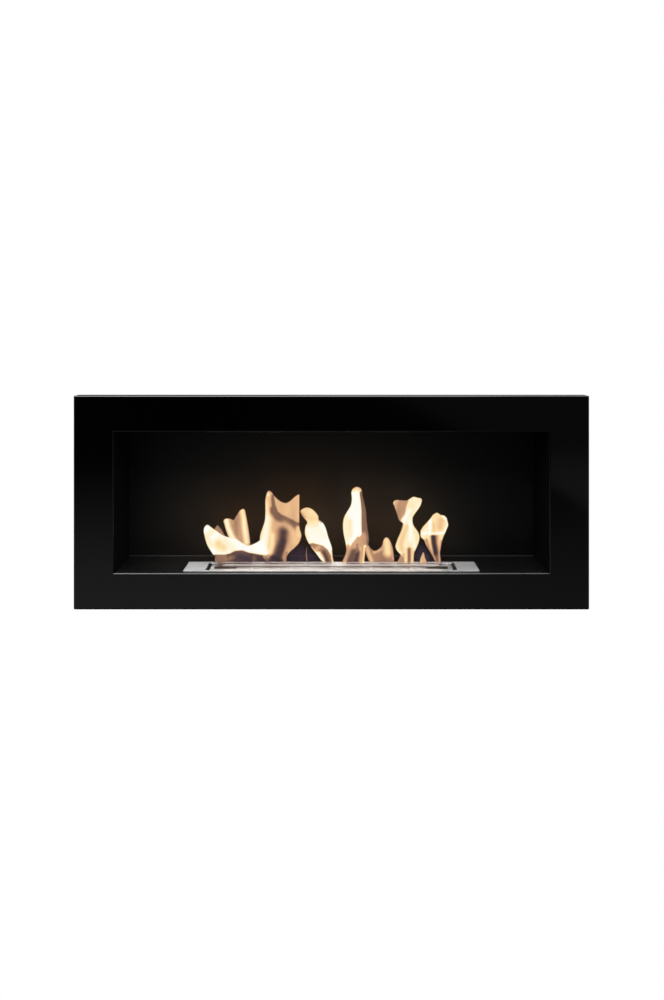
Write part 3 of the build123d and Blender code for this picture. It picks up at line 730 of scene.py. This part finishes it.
# %% Flame finish
flame_finish = bpy.data.materials.new("burning_alcohol")
tree = bare_tree(flame_finish)
warmth, edge = (
    add_node(tree, "ShaderNodeAttribute", attribute_name=label).outputs["Fac"] for label in ("warmth", "edge"))
rim_width, fade_width = 2.4, 1.7         # millimetres inside the outline
dark_below, lit_above = 6 * mm, 15 * mm  # heights above the slotted top
streaks = maths(tree, "SUBTRACT", grain(tree, 60, 2, (1.0, 1.0, 0.25)), 0.5)
bright = maths(tree, "ADD", warmth, maths(tree, "MULTIPLY", streaks, 0.22))
bright = maths(tree, "SUBTRACT", bright, remap(tree, edge, 0.0, rim_width, 0.20, 0.0), clamp=True)
colour = ramp(tree, bright, [(0.00, (0.055, 0.040, 0.062)), (0.15, (0.125, 0.073, 0.069)),
                             (0.30, (0.330, 0.175, 0.108)), (0.45, (0.620, 0.355, 0.205)),
                             (0.60, (0.880, 0.530, 0.270)), (0.75, (0.980, 0.750, 0.400)),
                             (0.88, (1.0, 0.920, 0.670)), (1.00, (1.0, 1.0, 0.95))])
height = add_node(tree, "ShaderNodeSeparateXYZ", {0: place(tree, centre=(0, 0, slot_z))}).outputs["Z"]
solid = maths(tree, "MULTIPLY", remap(tree, bright, 0.0, 0.55, 0.32, 0.97),
              remap(tree, edge, 0.0, fade_width), remap(tree, height, dark_below, lit_above, 0.02, 1.0))
light = add_node(tree, "ShaderNodeEmission", {"Color": colour, "Strength": 1.0})
clear = add_node(tree, "ShaderNodeBsdfTransparent")
mixed = add_node(tree, "ShaderNodeMixShader", {0: solid, 1: clear.outputs[0], 2: light.outputs[0]})
add_node(tree, "ShaderNodeOutputMaterial", {"Surface": mixed.outputs[0]})

# %% [markdown]
# Now the veils themselves, from left to right, first those at the left. The long low one flows into the tall one with
# two peaks, and together they make one wide bright bow, so the low one has a very soft right side. Its tip leans out
# past the end of the container.

# %% The flames at the left
make_veil(
    "flame_faint_tip",
    left=[(-210, 20), (-211, 50), (-211, 64)],
    crest=[(-210, 71), (-205, 77), (-201, 74)],
    right=[(-186, 20), (-187, 48), (-195, 65)],
    warmth=0.36, depth=3.0, thickness=3.0, phase=1.0)
make_veil(
    "flame_two_fingers",
    left=[(-176, 20), (-181, 42), (-186, 55), (-190, 66), (-193, 76)],
    crest=[(-195, 82), (-193, 86), (-188, 88), (-180, 88), (-176, 86), (-172, 92), (-167, 100), (-162, 104),
           (-157, 105), (-154, 101)],
    right=[(-143, 20), (-145, 42), (-147, 60), (-150, 78), (-153, 94)],
    strokes=[([(-189, 86), (-186, 72), (-180, 58), (-174, 46)], 8.5, 0.92),
             ([(-161, 104), (-158, 90), (-156, 72), (-152, 46)], 8.5, 0.84), ([(-172, 84), (-170, 60)], 6, 0.36),
             ([(-182, 16), (-138, 16)], 24, 0.08)],
    warmth=0.41, depth=3.5, thickness=4.0, phase=2.2)
make_veil(
    "flame_low_left",
    left=[(-204, 6), (-206, 12), (-210, 20), (-215, 28), (-222, 40), (-226, 52), (-229, 66)],
    crest=[(-228, 73), (-225, 77), (-221, 78), (-216, 74), (-209, 69), (-200, 63), (-192, 58), (-182, 55),
           (-172, 54), (-164, 49), (-156, 44), (-148, 41), (-139, 44), (-131, 48), (-124, 54), (-116, 60)],
    right=[(-106, 6), (-104, 20), (-106, 40)],
    strokes=[([(-201, 44), (-194, 38)], 17, 0.70), ([(-214, 66), (-223, 58), (-217, 42)], 11, 0.83),
             ([(-190, 50), (-180, 40), (-176, 30)], 9, 0.86),
             ([(-212, 20), (-207, 21), (-190, 22), (-180, 24), (-171, 28), (-160, 29), (-148, 25), (-130, 22),
               (-116, 20), (-104, 24)], 24, 0.16, -1), ([(-204, 8), (-104, 8)], 15, 0.12),
             ([(-186, 17), (-176, 20)], 7, 0.28), ([(-139, 20), (-138, 8)], 6, 0.24),
             ([(-162, 22), (-150, 16)], 8, 0.05), ([(-126, 15), (-112, 12)], 7, 0.07)],
    warmth=0.99, depth=-1.5, phase=0.4, soft=(1.0, 1.0, 0.14, 1.0))
make_veil(
    "flame_twin_peak",
    left=[(-119, 8), (-123, 18), (-128, 32), (-129, 50), (-128, 60), (-124, 72), (-120, 84), (-119, 97), (-119, 110),
          (-119, 122), (-117, 132)],
    crest=[(-115, 137), (-111, 139), (-107, 136), (-102, 129), (-96, 123), (-90, 119), (-82, 117), (-75, 120),
           (-67, 127), (-61, 131), (-57, 132)],
    right=[(-80, 8), (-79, 20), (-74, 28), (-66, 35), (-58, 44), (-54, 53), (-53, 60), (-56, 72), (-57, 91),
           (-57, 110)],
    strokes=[([(-107, 128), (-104, 112), (-99, 99), (-92, 93), (-84, 90), (-68, 82), (-58, 77)], 14, 0.27, -1),
             ([(-84, 76), (-92, 66)], 13, 0.50), ([(-76, 70), (-66, 58), (-64, 48)], 13, 0.62),
             ([(-60, 72), (-58, 58)], 6, 0.70), ([(-57, 128), (-58, 90)], 3.5, 0.66),
             ([(-86, 64), (-88, 50), (-93, 34), (-100, 10)], 17, 0.12), ([(-86, 48), (-94, 22)], 9, 0.10),
             ([(-104, 18), (-92, 12)], 10, 0.02), ([(-113, 132), (-115, 108), (-116, 88)], 8.5, 0.80),
             ([(-115, 88), (-117, 66), (-120, 50), (-122, 36)], 15, 0.95),
             ([(-106, 60), (-106, 44), (-110, 30)], 8, 0.80), ([(-113, 126), (-110, 112)], 5, 0.60),
             ([(-126, 10), (-106, 10)], 13, 0.12), ([(-115, 18), (-115, 8)], 3, 0.34),
             ([(-80, 28), (-83, 10)], 4, 0.36)],
    warmth=0.55, depth=0.5, thickness=7.0)
make_veil(
    "flame_violet_haze_left",
    left=[(-86, 8), (-84, 20), (-78, 32)],
    crest=[(-70, 42), (-60, 48), (-50, 48), (-42, 42)],
    right=[(-14, 8), (-20, 18), (-32, 32)],
    warmth=0.02, depth=3.0, thickness=3.0, soft=(0.12, 0.07, 0.12, 1.0))

# %% [markdown]
# In the middle stands the tallest flame, white where it is thickest, with a thin orange strip
# down its right side. To its left one is bent over like a bird's head: the head is a veil of its
# own that grows out of the body.

# %% The flames in the middle
make_veil(
    "flame_bent_body",
    left=[(-10, 7), (-19, 14), (-28, 26), (-37, 38), (-44, 50), (-48, 62), (-47, 74)],
    crest=[(-44, 80), (-39, 85), (-33, 88), (-27, 88), (-21, 86), (-17, 83)],
    right=[(9, 3), (5, 10), (3, 18), (2, 28), (1, 38), (-5, 55), (-9, 69), (-13, 78)],
    strokes=[([(-46, 62), (-42, 48), (-30, 30)], 7, 0.90), ([(-20, 70), (-12, 58)], 8, 0.90),
             ([(-40, 40), (-34, 42), (-26, 40), (-16, 37), (-9, 31), (-4, 22), (-2, 10)], 11, 0.34, -1),
             ([(-14, 28), (-9, 18), (-6, 8)], 8, 0.15), ([(-22, 38), (-28, 34)], 6, 0.50),
             ([(-36, 36), (-26, 23), (-17, 12), (-10, 6)], 4.5, 0.80), ([(1, 32), (2, 16), (7, 5)], 3.2, 0.74)],
    warmth=0.97, depth=-1.0, phase=1.2, soft=(1.0, 0.35, 1.0, 1.0))
make_veil(
    "flame_bent_head",
    left=[(-44, 84), (-50, 91), (-54, 97)],
    crest=[(-56, 103), (-53, 107), (-44, 110), (-35, 108), (-28, 102), (-23, 95)],
    right=[(-22, 82), (-22, 87)],
    strokes=[([(-54, 98), (-50, 92)], 8, 0.42), ([(-38, 102), (-28, 96)], 8, 0.76),
             ([(-46, 76), (-36, 75), (-24, 76)], 16, 0.98)],
    warmth=0.70, depth=-8.0, thickness=3.0, root=72, soft=(1.0, 1.0, 1.0, 0.16))
make_veil(
    "flame_thin_wisp",
    left=[(-44, 6), (-46, 14), (-47, 24), (-46, 34)],
    crest=[(-45, 38), (-44, 39), (-43, 38)],
    right=[(-39, 6), (-42, 14), (-43, 24), (-43, 34)],
    warmth=0.36, depth=1.0, thickness=1.5)
make_veil(
    "flame_tall",
    left=[(16, 6), (20, 14), (25, 26), (26, 36), (24, 48), (21, 63), (20, 78), (22, 91), (28, 102), (34, 112),
          (36, 124), (35, 135)],
    crest=[(36, 139), (38, 142), (42, 145), (46, 146), (50, 145), (54, 142), (56, 139)],
    right=[(60, 6), (60, 16), (63, 34), (68, 47), (66, 66), (64, 86), (63, 103), (60, 117), (57, 129)],
    strokes=[([(38, 144), (46, 148), (55, 142)], 12, 0.58), ([(25, 92), (25, 70), (29, 50)], 9, 0.86),
             ([(33, 84), (34, 60)], 9, 0.80),
             ([(54, 134), (56, 118), (57, 104), (57, 80), (58, 60), (61, 46)], 12, 0.26, 1),
             ([(48, 54), (40, 44), (33, 30), (28, 14)], 20, 0.46, 1), ([(46, 26), (44, 12)], 15, 0.10),
             ([(40, 30), (32, 12)], 10, 0.20), ([(30, 40), (27, 25), (21, 10)], 6, 0.46),
             ([(55, 50), (55, 34), (53, 12)], 4.5, 0.46), ([(62, 36), (60, 14)], 5, 0.46),
             ([(46, 44), (45, 30)], 3, 0.30)],
    warmth=0.99, depth=-1.0, thickness=8.0, phase=0.6)
make_veil(
    "flame_low_middle",
    left=[(68, 6), (62, 22), (58, 36), (58, 48)],
    crest=[(60, 54), (66, 43), (71, 36), (78, 31), (85, 34), (90, 40), (92, 47), (94, 52), (97, 55), (100, 55),
           (103, 53)],
    right=[(114, 8), (113, 18), (112, 28), (110, 38), (107, 46)],
    strokes=[([(98, 50), (100, 38), (101, 28)], 13, 0.78), ([(60, 46), (66, 28), (72, 12)], 6, 0.60),
             ([(108, 40), (111, 16)], 4, 0.44), ([(76, 28), (90, 34)], 5, 0.50)],
    warmth=0.34, depth=1.0, thickness=5.0, phase=3.4)

# %% [markdown]
# At the right two flames are twisted like ribbons. Where a ribbon turns its edge to the viewer
# it is brightest, so the strokes follow the twist. The veil between the last flame's two legs
# is nearly clear, and what glows there is violet.

# %% The flames at the right
make_veil(
    "flame_bow_tie",
    left=[(129, 8), (129, 16), (126, 21), (120, 27), (116, 32), (114, 38), (115, 43), (118, 52), (122, 61),
          (126, 70), (128, 77), (127, 81), (122, 83), (119, 88), (116, 98), (113, 108)],
    crest=[(110, 115), (112, 120), (118, 122), (126, 122), (134, 122), (139, 124), (144, 127), (148, 128),
           (155, 126), (160, 125), (163, 122)],
    right=[(148, 8), (148, 18), (149, 28), (153, 37), (157, 48), (158, 58), (155, 66), (149, 74), (146, 81),
           (146, 90), (151, 98), (157, 106), (161, 113)],
    strokes=[([(134, 122), (130, 110), (128, 96), (124, 86)], 20, 0.40, -1), ([(116, 118), (113, 110)], 4, 0.52),
             ([(156, 120), (146, 112)], 9, 0.80), ([(140, 104), (134, 94), (128, 86)], 6, 0.98),
             ([(134, 74), (128, 58), (124, 44), (126, 34)], 8.5, 0.64), ([(140, 88), (142, 70), (141, 50)], 5, 1.0),
             ([(152, 64), (151, 52)], 6, 0.80), ([(146, 60), (148, 40)], 5, 0.92), ([(139, 34), (139, 10)], 7, 0.27),
             ([(129, 26), (128, 14)], 5, 0.56), ([(147, 30), (147, 10)], 4, 0.60)],
    warmth=0.84, depth=-0.5, phase=0.9)
make_veil(
    "flame_low_wisp",
    left=[(115, 7), (117, 12), (120, 18)],
    crest=[(123, 25), (127, 27), (131, 25)],
    right=[(141, 7), (139, 12), (136, 17)],
    warmth=0.40, depth=-2.0, thickness=2.0)
make_veil(
    "flame_violet_haze_right",
    left=[(146, 8), (147, 20), (150, 34)],
    crest=[(154, 50), (158, 54), (162, 54), (166, 48)],
    right=[(190, 8), (184, 16), (174, 34)],
    warmth=0.02, depth=3.0, thickness=2.5, soft=(0.2, 0.07, 0.2, 1.0))
make_veil(
    "flame_right",
    left=[(187, 8), (183, 15), (178, 24), (173, 33), (168, 43), (166, 49), (164, 51), (161, 53), (159, 57),
          (159, 62)],
    crest=[(159, 66), (164, 74), (170, 81), (176, 88), (181, 95), (188, 99), (192, 98), (196, 95), (202, 94),
           (207, 90)],
    right=[(197, 8), (196, 18), (195, 27), (196, 34), (198, 45), (201, 55), (204, 61), (207, 68), (210, 76),
           (209, 82)],
    strokes=[([(197, 86), (195, 74)], 11, 0.58), ([(183, 80), (183, 68)], 4, 0.62),
             ([(200, 92), (207, 86), (208, 76), (203, 64)], 4.5, 0.94),
             ([(176, 88), (176, 74), (176, 60)], 4.5, 0.99), ([(170, 68), (164, 58)], 6, 0.86),
             ([(184, 57), (184, 44), (187, 30), (191, 12)], 11, 0.22),
             ([(182, 56), (184, 42), (187, 26)], 6.5, 0.06), ([(170, 50), (174, 36), (182, 18)], 5, 0.36),
             ([(197, 48), (195, 30), (194, 12)], 5.5, 0.46), ([(163, 62), (180, 62), (198, 63)], 4, 0.96)],
    warmth=0.76, depth=0.5, thickness=5.5, phase=1.7)
make_veil(
    "flame_small_right",
    left=[(157, 8), (158, 14), (159, 19), (161, 24)],
    crest=[(163, 28), (165, 29), (166, 28)],
    right=[(172, 8), (170, 14), (168, 19), (167, 24)],
    strokes=[([(160, 22), (159, 10)], 3.5, 0.66)],
    warmth=0.52, depth=-2.0, thickness=3.0)

# %% [markdown]
# ## The room
#
# A black mirror shows the room, so the room is part of the finish. The camera sees plain white
# everywhere. Reflections see something else: a dark studio whose walls get lighter towards the
# floor and whose ceiling is bright, with a faint glow to the right of a slanting line. Soft
# surfaces get an even grey sky. One world does all three, because a ray knows what kind it is.

# %% World
world = bpy.data.worlds.new("studio")
bpy.context.scene.world = world
tree = bare_tree(world)
direction = add_node(tree, "ShaderNodeSeparateXYZ",
                     {0: add_node(tree, "ShaderNodeTexCoord").outputs["Generated"]})
sideways, inwards, up = (direction.outputs[axis] for axis in "XYZ")
level_distance = maths(tree, "MAXIMUM", maths(tree, "ABSOLUTE", inwards), 0.05)
slope = maths(tree, "DIVIDE", up, level_distance)        # how steeply a reflection climbs
drift = maths(tree, "DIVIDE", sideways, level_distance)  # how far it veers to the right

wall_level, ceiling_level, glow_level, sky_level = 0.30, 6.0, 0.055, 0.5
lower_wall = maths(
    tree, "MULTIPLY",
    remap(tree, slope, -0.35, -0.12, wall_level, 0.0),  # lighter towards the floor
    remap(tree, drift, -0.10, 0.30, 1.0, 0.50),         # less so on the right
    remap(tree, slope, -1.3, -0.5, 0.04, 1.0))          # and dark again straight below
ceiling = maths(tree, "MULTIPLY", remap(tree, up, 0.72, 0.97, 0.0, ceiling_level),
                remap(tree, sideways, -0.20, 0.20, 1.25, 0.80))
right_of_line = maths(tree, "ADD", drift, maths(tree, "MULTIPLY", slope, 1.73))
right_glow = maths(tree, "MULTIPLY", remap(tree, right_of_line, -0.044, -0.026, 0.0, glow_level),
                   remap(tree, slope, -0.17, -0.12, 2.2, 1.0))
seen_in_gloss = maths(tree, "ADD", lower_wall, ceiling, right_glow)

rays = add_node(tree, "ShaderNodeLightPath")
seen_directly = maths(tree, "MAXIMUM", rays.outputs["Is Camera Ray"], rays.outputs["Is Transmission Ray"])
level = add_node(tree, "ShaderNodeMix", {0: rays.outputs["Is Glossy Ray"], 2: sky_level, 3: seen_in_gloss}).outputs[0]
level = add_node(tree, "ShaderNodeMix", {0: seen_directly, 2: level, 3: 1.0}).outputs[0]
background = add_node(tree, "ShaderNodeBackground", {"Color": (1, 1, 1, 1), "Strength": level})
add_node(tree, "ShaderNodeOutputWorld", {"Surface": background.outputs[0]})

# %% [markdown]
# The floor is well below, since the fireplace hangs at about table height. It is white to the
# camera and a pale grey to the lamps. Reflections don't see it: the studio in the gloss, made
# above, has its own lighter walls towards the floor.

# %% Floor
floor_drop, floor_radius = 0.75, 3.2
let_go()
bpy.ops.mesh.primitive_circle_add(vertices=96, radius=floor_radius, fill_type="NGON",
                                  location=(0, 0, mask_low.z - floor_drop))
floor = bpy.context.object
floor.name = "studio_floor"
floor_finish = bpy.data.materials.new("pale_floor")
tree = bare_tree(floor_finish)
mottle = mix_colour(tree, grain(tree, 3, 4), (0.40, 0.40, 0.40, 1), (0.48, 0.48, 0.48, 1))
matt = add_node(tree, "ShaderNodeBsdfDiffuse", {"Color": mottle})
white = add_node(tree, "ShaderNodeEmission", {"Color": (1, 1, 1, 1), "Strength": 1.0})
seen = add_node(tree, "ShaderNodeLightPath").outputs["Is Camera Ray"]
mixed = add_node(tree, "ShaderNodeMixShader", {0: seen, 1: matt.outputs[0], 2: white.outputs[0]})
add_node(tree, "ShaderNodeOutputMaterial", {"Surface": mixed.outputs[0]})
floor.data.materials.append(floor_finish)
floor.visible_glossy = False

# %% [markdown]
# Two softboxes light the object. The large one hangs above and in front: it draws the bright
# line along the top fold and lights the burner's steel. The other stands behind, so that the
# back is not left dark.


# %% Softboxes
def softbox(name, location, target, size, depth, radiance, colour=(1.0, 1.0, 1.0)):
    """A rectangular lamp aimed at a point. Radiance is how bright its face looks; 1 is white."""
    bpy.ops.object.light_add(type="AREA", location=location)
    lamp = bpy.context.object
    lamp.name = name
    lamp.data.shape = "RECTANGLE"
    lamp.data.size = size
    lamp.data.size_y = depth
    lamp.data.energy = radiance * math.pi * size * depth
    lamp.data.color = colour
    lamp.rotation_euler = (Vector(target) - Vector(location)).to_track_quat("-Z", "Y").to_euler()


softbox("front_softbox", location=(-0.25, -1.05, 1.25), target=(0, -0.1, -0.15), size=1.8, depth=1.0, radiance=4.5)
softbox("rear_softbox", location=(0.5, 1.6, 1.0), target=(0, -0.05, -0.12), size=1.4, depth=0.9, radiance=2.5)

# %% [markdown]
# The veils are thin and shine only as brightly as the picture shows them, while real flames
# light up the burner beneath them. Two long, narrow, warm lamps do that, one before the flames
# at half their height and one low behind them. Both are aimed at the slot, and the camera
# doesn't see them.

# %% Light from the flames
flames_width = 0.40
flame_lamps = (  # the lamp's place behind and above the slot, where it aims, its depth, radiance and colour
    ("flame_light", -30, 55, 20, 20, 1.6, (1.0, 0.88, 0.84)),
    ("flame_light_behind", 40, 18, 12, 12, 3.2, (1.0, 0.86, 0.82)))
for name, behind, above, aim, depth, radiance, colour in flame_lamps:
    softbox(name, (0, slot_y + behind * mm, slot_z + above * mm), (0, slot_y + aim * mm, slot_z),
            flames_width, depth * mm, radiance, colour)
    bpy.data.objects[name].visible_camera = False
